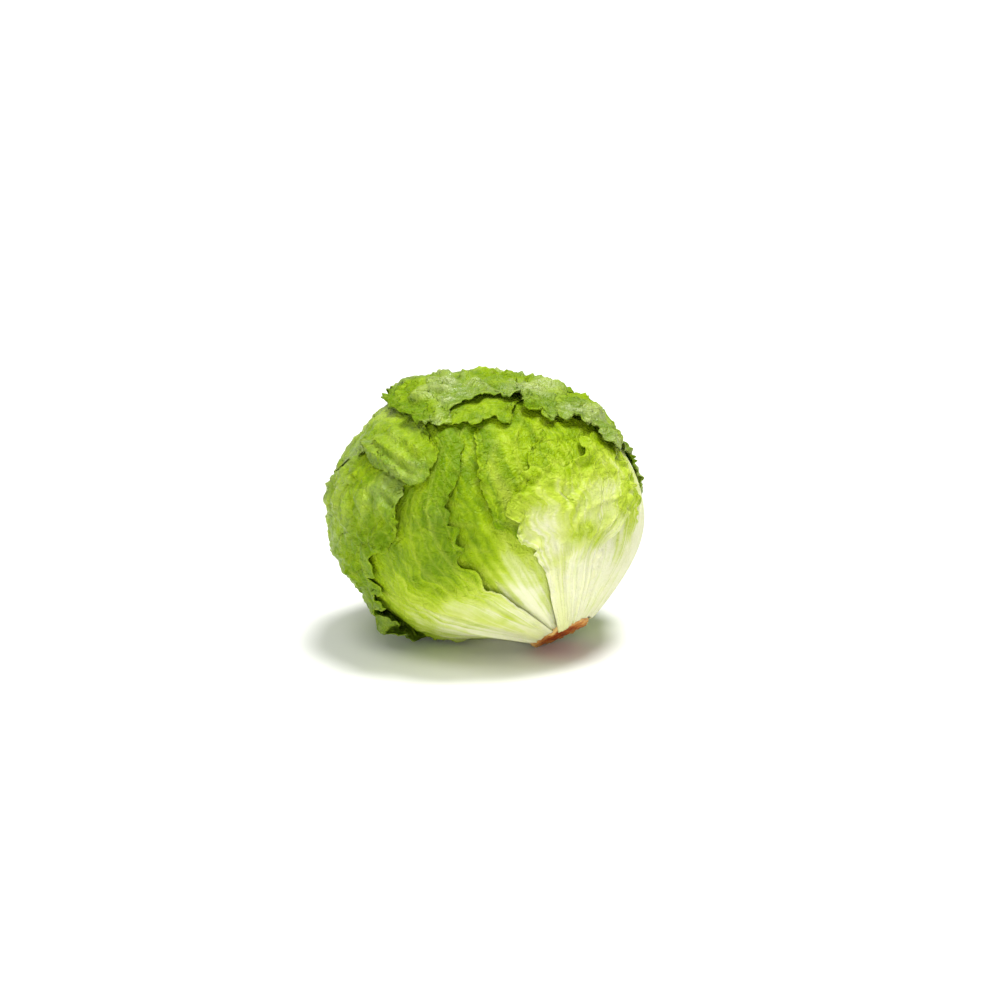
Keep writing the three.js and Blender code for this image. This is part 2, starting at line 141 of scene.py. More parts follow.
def lay(p, d, under):
    """Raises points over the surface. The underside sags, and is pressed flat on what is under."""
    z = p[:, 2] + HEAD_HEIGHT - SAG * smooth(*SAGS, -d[:, 2])
    return np.column_stack((p[:, :2], np.where(d[:, 2] < FACES_DOWN, np.maximum(z, under), z)))


def place(d, height, stack, under):
    """Points at a height over the heart, in mm."""
    return lay(d * (heart_radius(d, stack) + height)[:, None], d, under)


# Wrapper leaves
# Twelve loose leaves that grow from the stem and lie over each other, innermost first. Each is
# one thin blade with a fleshy rib at its base, crumpled between its veins and frilled at the
# edge. A margin lists alpha and psi from one side of the base round the tip to the other.
BASE = 12.9  # alpha at which every leaf meets the stem
BLADE = 0.5  # thickness of a blade away from its rib
AIR = 0.45  # between one leaf and the next
RAMP = 12  # a leaf climbs over the edge of a lower one within this length
EDGE_BAND = 9  # a leaf is thin within this distance of its edge
PER_KNOT = 30  # points of the edge between two knots
ROUGH_PER_KNOT = 8  # the same, where only the edge's course counts
BASE_POINTS = 9
LOBE_DEPTH = 2.4  # degrees that the edge is cut in between its lobes
LOBE_LENGTH = 16
EDGE_OUT = 0.6  # degrees that the whole edge stands out, to make up for the cuts
EDGE_CUTS = ((26, 3), (11, 3), (4.6, 2), (2, 1.2))  # length and depth of finer cuts, in degrees
CUTS_GROW = (42, 68)  # alphas between which the cuts of an edge reach their full depth
BASE_SWELL = 1.2  # leaves are this much thicker where they leave the stem
FLESHY_TO = 48  # alpha
RIB_WIDTH = 5.5  # half the width of a midrib, halfway along it
BRIDGED = 1.5  # the leaf above a rib bridges this many times its width
# Each random field of a leaf has a seed of its own, to which the leaf's number is added.
SEEDS = dict(shade=20, patches=30, cuts=40, wander=60, streaks=80, fine_streaks=90, puffs=100,
             ribbed=120)

# corners: the two knots between which the edge counts as the tip. cell: size of the facets.
# ruffle, wax and sheen, and crumple: how much it is frilled, waxy and sheened, and puffed up; the
# wax's pale coat is partly a painted sheen on the tops of the puffs. rib: height, psi at the base,
# then alpha and psi at its end. green: at the base and at the tip, from alpha to alpha.
# curls lift the blade, or press it down: alpha, psi, height, reach. folds: from alpha and psi to
# alpha and psi, height, half width. tears cut the edge: alpha, psi, depth, half width, and one of
# a negative depth is a tongue. veins are the large ones, through places of alpha and psi. pale
# spots lack green, or have more of it: alpha, psi, share, reach.
LEAVES = [
    # leaf_front's pale base starts at a greenness of 0.31 rather than cream: partly painted shade, for
    # the shadow of the leaves that lie over it.
    dict(name="leaf_front",
         margin=[(BASE, -38), (30, -45), (55, -43), (85, -38), (111, -30), (131, -4), (112, 25),
                 (85, 32), (55, 30), (30, 32), (BASE, 30)],
         corners=(4, 6), rib=(2.4, -4, 105, -2), ruffle=2.5, cell=0.95,
         green=(0.31, 0.9, 40, 80), wax_and_sheen=0, crumple=0.45),
    dict(name="leaf_right",
         margin=[(BASE, 50), (30, 45), (55, 45), (80, 48), (102, 60), (115, 85), (103, 112),
                 (80, 124), (55, 124), (30, 120), (BASE, 112)],
         corners=(4, 6), rib=(3, 81, 100, 84), ruffle=2, cell=1.1,
         green=(0, 0.36, 20, 100), wax_and_sheen=0, crumple=0.2),
    dict(name="leaf_under",
         margin=[(BASE, -128), (30, -138), (55, -136), (80, -128), (100, -112), (111, -93),
                 (101, -72), (80, -58), (55, -53), (30, -50), (BASE, -58)],
         corners=(4, 6), rib=(2.6, -93, 95, -94), ruffle=2, cell=1.8,
         green=(0.05, 0.6, 20, 90), wax_and_sheen=0, crumple=0.3),
    dict(name="leaf_back",
         margin=[(BASE, 130), (30, 124), (55, 120), (80, 122), (106, 132), (121, 160),
                 (107, 198), (80, 212), (55, 212), (30, 206), (BASE, 198)],
         corners=(4, 6), rib=(2.6, 164, 105, 160), ruffle=2, cell=1.6,
         green=(0.1, 0.7, 20, 90), wax_and_sheen=0.2, crumple=0.5),
    dict(name="leaf_left_front",
         margin=[(BASE, -84), (30, -92), (50, -100), (75, -102), (98, -88), (118, -56),
                 (129, -20), (113, 8), (100, 4), (89, -5), (80, -10), (73, -12), (66, -15),
                 (53, -17), (45, -14), (29, -11), (BASE, -8)],
         corners=(4, 7), rib=(3, -40, 100, -80), ruffle=3, cell=0.9,
         green=(0.12, 0.88, 22, 84), wax_and_sheen=0.1, crumple=0.5,
         curls=[(74, -13, 2, 4), (56, -15, 3, 4), (86, -7, 2, 4), (47, -12, 2.5, 3)],
         tears=[(85, -5, 4, 2.4), (79.5, -9, 3.5, 1.8), (73, -11, 5.5, 2.6), (65, -14, 4, 2.2),
                (53, -16, 3.5, 1.6)],
         pale=[(68, -58, 0.24, 13), (48, -40, 0.2, 12)],
         veins=[[(17, -26), (41, -36), (58, -47), (72, -52), (81, -51)],
                [(20, -15), (45, -26), (63, -33), (77, -33), (87, -28), (97, -20)],
                [(21, -8), (44, -16), (62, -22), (76, -22), (89, -18), (99, -10), (108, -1)]]),
    dict(name="leaf_centre",
         margin=[(BASE, 6), (33, 12), (45, 15), (55, 12), (61, 6), (66, 1), (72, 1), (78, 1),
                 (87, 3), (95, 6), (108, 13), (118, 32), (110, 55), (95, 68), (75, 64), (50, 52),
                 (30, 44), (BASE, 36)],
         corners=(10, 12), rib=(1.6, 21, 100, 30), ruffle=1.6, cell=0.82,
         green=(0.12, 0.8, 30, 74), wax_and_sheen=0, crumple=0.45,
         folds=[(97, 7, 69, 3, 1.6, 3)],
         veins=[[(69, 10), (78, 10), (91, 11), (101, 20)], [(74, 19), (85, 20), (96, 25), (105, 36)]]),
    dict(name="leaf_right_front",
         margin=[(BASE, 22), (30, 20), (50, 20), (75, 22), (92, 30), (98, 50), (91, 70),
                 (75, 76), (60, 74), (43, 73), (34, 69), (25, 62), (BASE, 62)],
         corners=(4, 6), rib=(1.8, 42, 85, 48), ruffle=1.5, cell=0.87,
         green=(0, 0.68, 25, 90), wax_and_sheen=0, crumple=0.4),
    dict(name="leaf_centre_right",
         margin=[(BASE, -2), (20, 3), (33, 7), (45, 10), (52, 8), (60, 6), (66, 4), (72, 6),
                 (79, 14), (85, 25), (80, 38), (86, 50), (83, 62), (73, 69), (61, 66), (52, 56),
                 (45, 44), (30, 42), (BASE, 42)],
         corners=(8, 12), rib=(3.2, 3, 80, 38), ruffle=3, cell=0.76,
         green=(0.02, 0.6, 42, 86), wax_and_sheen=0, crumple=0.65,
         curls=[(78, 18, 2, 5), (79, 52, 2, 6), (66, 5, 2.5, 4), (62, 65, 3, 6), (53, 56, 2.5, 4)],
         tears=[(68, 6, 4, 2), (56, 7, 3, 1.5), (81, 36, 4, 3)],
         pale=[(62, 20, 0.14, 10), (56, 33, -0.3, 7), (49, 32, -0.2, 6)],
         veins=[[(14, 5), (39, 15), (53, 22), (60, 25)], [(40, 13), (56, 13), (67, 12), (74, 9)],
                [(48, 17), (59, 17), (67, 15), (75, 15)], [(55, 22), (65, 21), (72, 21), (80, 23)],
                [(58, 24), (68, 27), (76, 32), (83, 38)], [(57, 24), (65, 32), (71, 42), (77, 51)],
                [(56, 24), (61, 36), (62, 47), (62, 59)], [(48, 23), (51, 34), (53, 45), (56, 54)]]),
    dict(name="leaf_left",
         margin=[(BASE, -175), (30, -178), (50, -175), (75, -165), (100, -150), (125, -125),
                 (142, -95), (146, -60), (142, -36), (128, -22), (112, -14), (103, -17), (97, -24),
                 (91, -31), (86, -38), (84, -47), (81, -56), (75, -69), (69, -82), (63, -98),
                 (50, -120), (30, -132), (BASE, -138)],
         corners=(6, 10), rib=(2.4, -156, 125, -120), ruffle=2.8, cell=1.05,
         green=(0.35, 0.84, 16, 60), wax_and_sheen=0.4, crumple=1,
         curls=[(75, -84, 4, 8), (68, -86, 6, 5), (62, -98, 4, 5), (90, -42, 3, 5), (99, -22, 2, 4)],
         tears=[(88, -47, 8, 3.2), (100, -20, 5, 2.6), (80, -58, 5, 2), (77, -65, 5, 1.8),
                (74, -72, -4, 2.2), (72, -76, 6, 1.8), (70, -80, -8, 2.4), (68.5, -84, 7, 1.8),
                (66.5, -89, -9, 2.4), (64.5, -95, 7, 1.8), (62, -100, -6, 2.4), (57, -108, 5, 2.4)]),
    dict(name="leaf_shoulder",
         margin=[(BASE, -190), (40, -196), (80, -200), (120, -205), (150, -240), (160, -330),
                 (142, -362), (128, -368), (114, -364), (104, -366), (98, -373), (103, -379),
                 (109, -383), (117, -388), (128, -394), (136, -402), (132, -440), (115, -480),
                 (84, -505), (40, -515), (BASE, -520)],
         corners=(5, 13), rib=(1.8, -175, 150, -190), ruffle=1.8, cell=1.3,
         green=(0.35, 0.8, 16, 70), wax_and_sheen=0.8, crumple=0.6,
         curls=[(131, -56, -4, 10)],
         folds=[(131, -36, 104, -19, 4, 2.4), (127, -27, 106, -14, 3.4, 2.2),
                (129, -18, 109, -9, 2.8, 2)]),
    dict(name="leaf_crown_inner",
         margin=[(BASE, 176), (40, 184), (80, 194), (120, 206), (156, 216), (172, 300),
                 (150, 345), (117, 366), (111, 372), (107, 382), (106, 386), (112, 395),
                 (119, 416), (124, 443), (116, 474), (80, 490), (40, 500), (BASE, 506)],
         corners=(7, 11), rib=(1.8, 161, 160, 150), ruffle=3.5, cell=1.45,
         green=(0.35, 0.76, 16, 70), wax_and_sheen=0.2, crumple=0.9,
         tears=[(107, 22, 4, 1.8), (112, 12, 5, 2), (109, 17, -4, 2), (106, 27, -4, 2)]),
    dict(name="leaf_crown",
         margin=[(BASE, 128), (35, 126), (60, 116), (72, 93), (86, 76), (84, 62), (93, 58),
                 (97, 46), (103, 41), (113, 42), (118, 36), (124, 21), (118, 6), (116, -2),
                 (124, -8), (134, -10), (148, -24), (162, -32), (169, -140), (147, -170),
                 (115, -186), (80, -190), (40, -193), (BASE, -195)],
         corners=(4, 14), rib=(2, 146, 165, 120), ruffle=3, cell=1.2,
         green=(0.35, 0.88, 16, 80), wax_and_sheen=1, crumple=1.1,
         curls=[(110, 42, 3, 4), (95, 52, 3, 4), (85, 66, 3, 4), (130, -10, 3, 5)],
         tears=[(118, 6, -5, 3), (116, -2, 6, 2), (121, -6, 5, 2), (121, 30, 5, 2),
                (117, 37, -4, 2.5), (113, 42, 6, 2), (107, 41, -5, 2.4), (103, 41, 5, 1.8),
                (99, 44, -4, 2), (97, 47, 6, 1.6), (93, 57, -5, 2), (88, 60, 5, 1.8),
                (84, 64, -4, 2), (85, 71, 5, 1.8), (79, 85, 5, 2)]),
]


def to_map(leaf, d):
    """Places on the flat map of the head round the leaf's middle, in degrees."""
    middle, east, away = leaf["axes"]
    far = np.degrees(np.arccos(np.clip(d @ middle, -1, 1)))
    x, y = d @ east, d @ away
    size = np.maximum(np.hypot(x, y), 1e-9)
    return np.stack((far * x / size, far * y / size), axis=-1)


def to_head(leaf, p):
    middle, east, away = leaf["axes"]
    far = np.maximum(np.linalg.norm(p, axis=-1, keepdims=True), 1e-9)
    sideways = (p[..., :1] * east + p[..., 1:] * away) / far
    return np.cos(np.radians(far)) * middle + np.sin(np.radians(far)) * sideways


def spline(knots, per_knot):
    """A smooth curve through all its knots."""
    padded = np.vstack((knots[:1], knots, knots[-1:]))
    t = np.arange(per_knot)[:, None] / per_knot
    made = []
    for a, b, c, e in zip(padded, padded[1:], padded[2:], padded[3:]):
        leave, arrive = (c - a) / 2, (e - b) / 2
        made.append((2 * b - 2 * c + leave + arrive) * t ** 3
                    + (3 * c - 3 * b - 2 * leave - arrive) * t ** 2 + leave * t + b)
    return np.vstack(made + [knots[-1:]])


def distance_to(line, p):
    """Distance from each point to a line through points on a map, and how far along it is."""
    start, run = line[:-1], np.diff(line, axis=0)
    length = np.linalg.norm(run, axis=1)
    begun = np.concatenate(([0], np.cumsum(length)))[:-1]
    nearest, reached = np.empty(len(p)), np.empty(len(p))
    for block in np.array_split(np.arange(len(p)), max(1, len(p) // 4000)):
        off = p[block, None] - start
        share = np.clip(np.sum(off * run, axis=2) / np.maximum(length ** 2, 1e-12), 0, 1)
        off = np.linalg.norm(off - share[..., None] * run, axis=2)
        least = np.argmin(off, axis=1)
        row = np.arange(len(block))
        nearest[block] = off[row, least]
        reached[block] = begun[least] + share[row, least] * length[least]
    return nearest, reached


def is_inside(outline, p):
    inside = np.zeros(len(p), bool)
    for a, b in zip(outline, np.roll(outline, 1, axis=0)):
        crosses = (a[1] > p[:, 1]) != (b[1] > p[:, 1])
        with np.errstate(divide="ignore", invalid="ignore"):
            inside ^= crosses & (p[:, 0] < (b[0] - a[0]) * (p[:, 1] - a[1]) / (b[1] - a[1]) + a[0])
    return inside


FIELD_STEP = 1.0  # degrees, of the table of distances to a leaf's edge
FAR_OUTSIDE = -99  # stands for any distance past the table, in mm
for index, leaf in enumerate(LEAVES):
    alpha, psi = np.array(leaf["margin"], float).T
    knots = direction(alpha, psi)
    middle = knots.sum(axis=0)
    middle /= np.linalg.norm(middle)
    east = np.cross(STEM, middle)
    east /= np.linalg.norm(east)
    leaf["axes"] = middle, east, np.cross(east, middle)
    leaf["index"] = index
    edge = spline(to_map(leaf, knots), ROUGH_PER_KNOT)
    turn_round = psi[0] + 360 * round((psi[-1] - psi[0]) / 360)
    round_stem = np.linspace(turn_round, psi[-1], BASE_POINTS)
    leaf["base"] = to_map(leaf, direction(np.full(BASE_POINTS, BASE), round_stem))
    rib_psi, tip_alpha, tip_psi = leaf["rib"][1:]
    ends = to_map(leaf, direction(np.array((BASE, tip_alpha)), np.array((rib_psi, tip_psi))))
    leaf["rib_start"], leaf["rib_run"] = ends[0], ends[1] - ends[0]
    outline = np.vstack((edge, to_map(leaf, STEM[None])))
    reach = RAMP / MM_PER_DEGREE + 2 * FIELD_STEP
    low, high = edge.min(axis=0) - reach, edge.max(axis=0) + reach
    shape = np.ceil((high - low) / FIELD_STEP).astype(int) + 1
    x, y = (low[k] + FIELD_STEP * np.arange(shape[k]) for k in (0, 1))
    p = np.stack(np.meshgrid(x, y, indexing="ij"), axis=-1).reshape(-1, 2)
    signed = distance_to(edge, p)[0] * np.where(is_inside(outline, p), 1, -1)
    leaf["field"] = low, (signed * MM_PER_DEGREE).reshape(shape)

    # The edge as it is cut: lobed, and frilled finely between the lobes.
    edge = spline(to_map(leaf, knots), PER_KNOT)
    run = np.concatenate(([0], np.cumsum(np.linalg.norm(np.diff(edge, axis=0), axis=1))))
    along = np.gradient(edge, axis=0)
    inward = np.stack((-along[:, 1], along[:, 0]), axis=1)
    inward /= np.maximum(np.linalg.norm(inward, axis=1, keepdims=True), 1e-9)
    area = np.sum(edge[:, 0] * np.roll(edge[:, 1], -1) - edge[:, 1] * np.roll(edge[:, 0], -1))
    share = run / run[-1]
    free = smooth(0, 0.2, share) * smooth(0, 0.2, 1 - share)
    free = free * (0.15 + 0.85 * smooth(*CUTS_GROW, angle_between(to_head(leaf, edge), STEM)))
    lobes = np.cos(np.radians(360 / LOBE_LENGTH * run) + 1.3 * np.sin(0.11 * run))
    cut = LOBE_DEPTH * (0.5 - 0.5 * lobes) - EDGE_OUT
    track = np.stack((run, np.zeros_like(run), np.zeros_like(run) + 9 * index), axis=1)
    for length, depth in EDGE_CUTS:
        cut = cut - depth * (np.abs(ripple(track, length, SEEDS["cuts"] + index)) - 0.25)
    for tear_alpha, tear_psi, depth, half in leaf.get("tears", ()):
        tear = to_map(leaf, direction(np.array([tear_alpha]), np.array([tear_psi])))
        off = np.linalg.norm(edge - tear, axis=1) * MM_PER_DEGREE
        cut = cut + (depth * np.exp(-((off - off.min()) / half) ** 2)) / MM_PER_DEGREE
    leaf["edge"] = edge + np.sign(area) * inward * (free * cut)[:, None]


def from_edge(leaf, d):
    """How far d lies in from the leaf's edge, in mm, and negative outside."""
    low, table = leaf["field"]
    q = (to_map(leaf, d) - low) / FIELD_STEP
    last = np.array(table.shape) - 1.001
    outside = np.any((q < 0) | (q > last), axis=1)
    q = np.clip(q, 0, last)
    i, j = np.floor(q).astype(int).T
    f, g = (q - np.floor(q)).T
    value = ((table[i, j] * (1 - f) + table[i + 1, j] * f) * (1 - g)
             + (table[i, j + 1] * (1 - f) + table[i + 1, j + 1] * f) * g)
    return np.where(outside, FAR_OUTSIDE, value)


def rib_place(leaf, d):
    """Share of the way along the midrib, and mm aside of it, left or right."""
    p = to_map(leaf, d) - leaf["rib_start"]
    run = leaf["rib_run"]
    size = np.linalg.norm(run)
    aside = (p[:, 0] * run[1] - p[:, 1] * run[0]) / size * MM_PER_DEGREE
    return p @ run / size ** 2, aside


def rib_height(leaf, d, spread):
    along, aside = rib_place(leaf, d)
    along = np.clip(along, 0, 1)
    width = RIB_WIDTH * spread * (1.35 - 0.6 * along)
    return leaf["rib"][0] * (1 - along) ** 1.3 * np.exp(-(aside / width) ** 2)


def thickness(leaf, d, inward, spread):
    fleshy = BASE_SWELL * (1 - smooth(BASE, FLESHY_TO, angle_between(d, STEM)))
    return BLADE + smooth(0, EDGE_BAND, inward) * (rib_height(leaf, d, spread) + fleshy)


def stack_at(d):
    """Height of each leaf's inner face, how far the leaves above cover it, and the whole stack."""
    top = np.zeros(len(d))
    inner, cover = [], []
    for leaf in LEAVES:
        inward = from_edge(leaf, d)
        cover.append(smooth(-RAMP, 0, inward))
        inner.append(top + AIR)
        top = np.maximum(top, cover[-1] * (inner[-1] + thickness(leaf, d, inward, BRIDGED)))
    covered = [np.zeros(len(d))]
    for c in reversed(cover[1:]):
        covered.append(np.maximum(covered[-1], c))
    return inner, covered[::-1], top


def evenly(leaf, line, places):
    """Points of a line on the leaf's map at shares of its length on the head."""
    steps = angle_between(to_head(leaf, line[1:]), to_head(leaf, line[:-1]))
    run = np.concatenate(([0], np.cumsum(steps)))
    return np.stack([np.interp(places * run[-1], run, line[:, k]) for k in (0, 1)], axis=1)


def leaf_grid(leaf):
    """Directions in rows from base to tip, closer together towards the edge."""
    first, last = (k * PER_KNOT for k in leaf["corners"])
    sides = leaf["edge"][:first + 1], leaf["edge"][last:][::-1]
    end = leaf["edge"][first:last + 1]
    halfway = np.array([side[round(len(side) * 0.6)] for side in sides])
    cell = leaf["cell"] * 1

    def cells(*lines):
        longest = 0
        for line in lines:
            rough = line[::max(1, len(line) // 40)]
            steps = angle_between(to_head(leaf, rough[1:]), to_head(leaf, rough[:-1]))
            longest = max(longest, steps.sum())
        return math.ceil(longest * MM_PER_DEGREE / cell)

    u = np.linspace(0, 1, cells(*sides) + 1)
    u = u + 0.25 * u * (1 - u)
    v = np.linspace(0, 1, cells(end, halfway) + 1)
    v = v - 0.5 * np.sin(2 * np.pi * v) / (2 * np.pi)
    left, right = (evenly(leaf, side, u) for side in sides)
    base, tip = evenly(leaf, leaf["base"], v), evenly(leaf, end, v)
    u, v = u[:, None, None], v[None, :, None]
    p = ((1 - v) * left[:, None] + v * right[:, None] + (1 - u) * base + u * tip
         - (1 - u) * ((1 - v) * left[0] + v * right[0]) - u * ((1 - v) * left[-1] + v * right[-1]))
    return to_head(leaf, p), *(np.broadcast_to(k, p.shape[:2] + (1,)).reshape(-1) for k in (u, v))


def as_object(name, points, faces, attributes):
    """A smooth mesh from points in mm, with one value of each attribute for each point."""
    mesh = bpy.data.meshes.new(name)
    mesh.from_pydata((points / 1000).tolist(), [], faces)
    mesh.shade_smooth()
    for key, values in attributes.items():
        attribute = mesh.attributes.new(key, "FLOAT", "POINT")
        attribute.data.foreach_set("value", values.astype(np.float32))
    piece = bpy.data.objects.new(name, mesh)
    bpy.context.collection.objects.link(piece)
    return piece


def solid(name, outer, inner, attributes):
    """A leaf as one closed skin from two matching grids of points in mm."""
    rows, columns = outer.shape[:2]
    count = rows * columns
    at = np.arange(count).reshape(rows, columns)
    quads = np.stack((at[:-1, :-1], at[:-1, 1:], at[1:, 1:], at[1:, :-1]), axis=-1).reshape(-1, 4)
    ring = np.concatenate((at[0, :-1], at[:-1, -1], at[-1, :0:-1], at[:0:-1, 0]))
    following = np.roll(ring, -1)
    rim = np.stack((ring, ring + count, following + count, following), axis=1)
    faces = np.vstack((quads, quads[:, ::-1] + count, rim))
    points = np.vstack((outer.reshape(-1, 3), inner.reshape(-1, 3)))
    a, b, c = (points[faces[:, k]] for k in (0, 1, 2))
    if np.sum(a * np.cross(b, c)) < 0:
        faces = faces[:, ::-1]
    return as_object(name, points, faces.tolist(), {k: np.tile(v, 2) for k, v in attributes.items()})


PUFFS = ((24, 2.6), (12, 3.6), (6, 2.3), (2.8, 1.3))  # size and height of the bumps between creases


def crumple(points, seed):
    """Puffed blade between sharp creases, in mm: large bumps with smaller ones on them."""
    bent = points + 6 * np.stack([ripple(points, 21, seed + k) for k in range(3)], axis=1)
    puffs = sum(height * np.abs(ripple(bent, size, seed + 3 + k))
                for k, (size, height) in enumerate(PUFFS))
    return np.maximum(puffs - 1, 0)


def fold_at(leaf, d, alpha_1, psi_1, alpha_2, psi_2, height, half):
    """Height at d of a fold of the blade that runs from one place to another."""
    ends = to_map(leaf, direction(np.array((alpha_1, alpha_2)), np.array((psi_1, psi_2))))
    off = distance_to(ends, to_map(leaf, d))[0] * MM_PER_DEGREE
    return height * np.exp(-(off / half) ** 2)


VEIN_SPACING = 12  # from one side vein to the next, along the midrib
FORK_SPACING = 6.3  # the same for the fine veins that fork off them
MIDRIB_BREADTH = 2.4  # a leaf's first large vein is this many times as broad as the rest


def side_veins(aside, run, wander):
    """Side veins leave the midrib evenly and turn towards the tip, and finer ones fork off."""
    far = np.abs(aside)
    phase = (run - 0.55 * far - 0.006 * far ** 2) / VEIN_SPACING
    phase = phase + np.where(aside > 0, 0.5, 0) + 0.4 * wander
    off = np.abs(phase - np.round(phase)) * VEIN_SPACING * 0.8
    fork = (run - 0.15 * far) / FORK_SPACING + 1.3 * wander
    off_fork = np.abs(fork - np.round(fork)) * FORK_SPACING * 0.9
    side = np.exp(-(off / (0.45 + 6 / (8 + far))) ** 2)
    return smooth(1.5, 8, far) * np.maximum(0.4 * side, 0.15 * np.exp(-(off_fork / 0.5) ** 2))


def large_veins(leaf, d):
    """The veins that stand out most. Each tapers from its first place to its last."""
    large = np.zeros(len(d))
    for number, places in enumerate(leaf.get("veins", ())):
        broad = 1 if number else MIDRIB_BREADTH
        line = spline(to_map(leaf, direction(*np.array(places, float).T)), ROUGH_PER_KNOT)
        away, reached = distance_to(line, to_map(leaf, d))
        taper = 1 - reached / reached.max()
        width = broad * (0.6 + 1.6 * taper) / MM_PER_DEGREE
        large = np.maximum(large, (0.25 + 0.3 * broad * taper) * np.exp(-(away / width) ** 2))
    return large


def greenness(leaf, d, to_edge, ribbed):
    """From 0, cream, to 1, dark green: ribs are paler and the outer edge is greener."""
    points, alpha, index = d * MEAN_RADIUS, angle_between(d, STEM), leaf["index"]
    rib = rib_height(leaf, d, 1) / leaf["rib"][0]
    low, high, begin, end = leaf["green"]
    shade = ripple(points, 24, SEEDS["shade"] + index)
    green = low + (high - low) * smooth(begin, end, alpha + 10 * shade)
    at_edge = np.exp(-to_edge / 10) * smooth(30, 60, alpha)
    green = green - 0.4 * rib - 0.15 * ribbed + 0.2 * at_edge
    green = green + 0.14 * ripple(points, 9, SEEDS["patches"] + index)
    for spot in leaf.get("pale", ()):
        green = green - hump(d, *spot)
    return np.clip(green, 0, 1)


FRILLS = ((6, 8, 0.1), (2.6, 3.6, 0.2))  # reach in from the edge, length along it, least height


def frill_at(leaf, along_edge, to_edge):
    """How far the frilled edge waves outwards, in mm: broad waves with small ones on them."""
    lane = np.full(len(to_edge), 17.0 * leaf["index"])
    track = np.stack((along_edge * MM_PER_DEGREE, 0.5 * to_edge, lane), axis=1)
    return leaf["ruffle"] * sum(
        np.exp(-(to_edge / reach) ** 2) * np.maximum(least + 1.1 * ripple(track, length, 3 + k), 0)
        for k, (reach, length, least) in enumerate(FRILLS))


# How high each kind of relief stands, in mm.
RIBBED_HEIGHT = 1.3  # ribs that fan out at the base of the leaf
SIDE_VEIN_HEIGHT = 0.4
LARGE_VEIN_HEIGHT = 1.8
STREAK_HEIGHT = 0.14


def leaf_piece(leaf):
    """A whole leaf, with its relief as mesh and its greenness, veins and wax, partly painted sheen, as
    attributes.
    """
    grid, u, v = leaf_grid(leaf)
    d = grid.reshape(-1, 3)
    index = leaf["index"]
    inner, covered, stack = stack_at(d)
    inner, covered = inner[index], covered[index]
    to_edge, along_edge = distance_to(leaf["edge"], to_map(leaf, d))
    to_edge = to_edge * MM_PER_DEGREE
    alpha = angle_between(d, STEM)
    along, aside = rib_place(leaf, d)
    run = along * np.linalg.norm(leaf["rib_run"]) * MM_PER_DEGREE
    points = d * MEAN_RADIUS

    wander = ripple(points, 26, SEEDS["wander"] + index)
    large = large_veins(leaf, d)
    vein = np.maximum(side_veins(aside, run, wander), large)
    rays = np.stack((130 * v, 9 * u, np.full(len(d), 31.0 * index)), axis=1)
    streak = ripple(rays, 3.4, SEEDS["streaks"] + index)
    streak = streak + 0.7 * ripple(rays, 1.4, SEEDS["fine_streaks"] + index)
    streak = streak * (1.7 - leaf["crumple"])
    ribbed = np.maximum(ripple(rays, 8, SEEDS["ribbed"] + index) + 0.1, 0)
    ribbed = ribbed * smooth(0, 5, to_edge) * (1 - smooth(40, 75, alpha))
    green = greenness(leaf, d, to_edge, ribbed)

    # The green part of a blade is limp, so it puffs up between its veins. The rib stays smooth.
    limp = smooth(0.1, 0.6, green)
    frill = frill_at(leaf, along_edge, to_edge) * smooth(28, 60, alpha)
    puffed = leaf["crumple"] * limp * crumple(points, SEEDS["puffs"] + 10 * index)
    puffed = puffed * (0.5 + 0.5 * smooth(0, 9, to_edge))
    raised = [hump(d, *curl) for curl in leaf.get("curls", ())]
    raised += [fold_at(leaf, d, *fold) for fold in leaf.get("folds", ())]
    open_to_air = (1 - covered) ** 2
    relief = open_to_air * np.maximum(
        frill + puffed + sum(raised, RIBBED_HEIGHT * ribbed) + SIDE_VEIN_HEIGHT * vein * limp
        + LARGE_VEIN_HEIGHT * large + STREAK_HEIGHT * (streak + 0.8), 0)

    bottom = inner + relief
    top = bottom + thickness(leaf, d, to_edge, 1)
    under = np.maximum(0, stack - top) * smooth(0.3, 0.95, covered)
    outer = place(d, top, stack, under).reshape(grid.shape)
    inside = place(d, bottom, stack, under + top - bottom).reshape(grid.shape)
    # The pale waxy coat is stronger on the tops of the puffs: partly the leaf's wax, partly a painted
    # sheen where highlights fall.
    wax_and_sheen = leaf["wax_and_sheen"] * (0.2 + 0.8 * smooth(0.3, 2, puffed)) * smooth(-0.5, 0.3, wander)
    return solid(leaf["name"] + "_blade", outer, inside, {
        "green": green, "vein": vein, "streak": streak, "wax_and_sheen": wax_and_sheen,
        # rim: the last mm of the edge, which is drawn paler as a painted glow of light through the
        # thin edge
        "rim": np.exp(-to_edge / 1.2)})


def linear(colour):
    """An sRGB hex colour as linear red, green, blue and alpha."""
    channels = [int(colour[k:k + 2], 16) / 255 for k in (1, 3, 5)]
    return [c / 12.92 if c < 0.04045 else ((c + 0.055) / 1.055) ** 2.4 for c in channels] + [1]


def node(tree, kind, inputs=(), **settings):
    """Adds a node with its settings. Inputs are given by name or number, as a value or a socket."""
    made = tree.nodes.new(kind)
    for key, value in settings.items():
        setattr(made, key, value)
    for key, value in dict(inputs).items():
        if isinstance(value, bpy.types.NodeSocket):
            tree.links.new(value, made.inputs[key])
        else:
            made.inputs[key].default_value = value
    return made


# Crisp living leaf: a moist blade with a thin waxy skin, which light passes into, so it glows
# where it is thin. Water in the tissue gives an IOR near 1.4 and a soft highlight.
LEAF_COLOURS = [(0, "#E2E3BE"), (0.2, "#CCD686"), (0.45, "#B1C63C"), (0.7, "#91AE08"),
                (1, "#648500")]  # by how green the blade is
VEIN_COLOUR = "#D2DA5C"
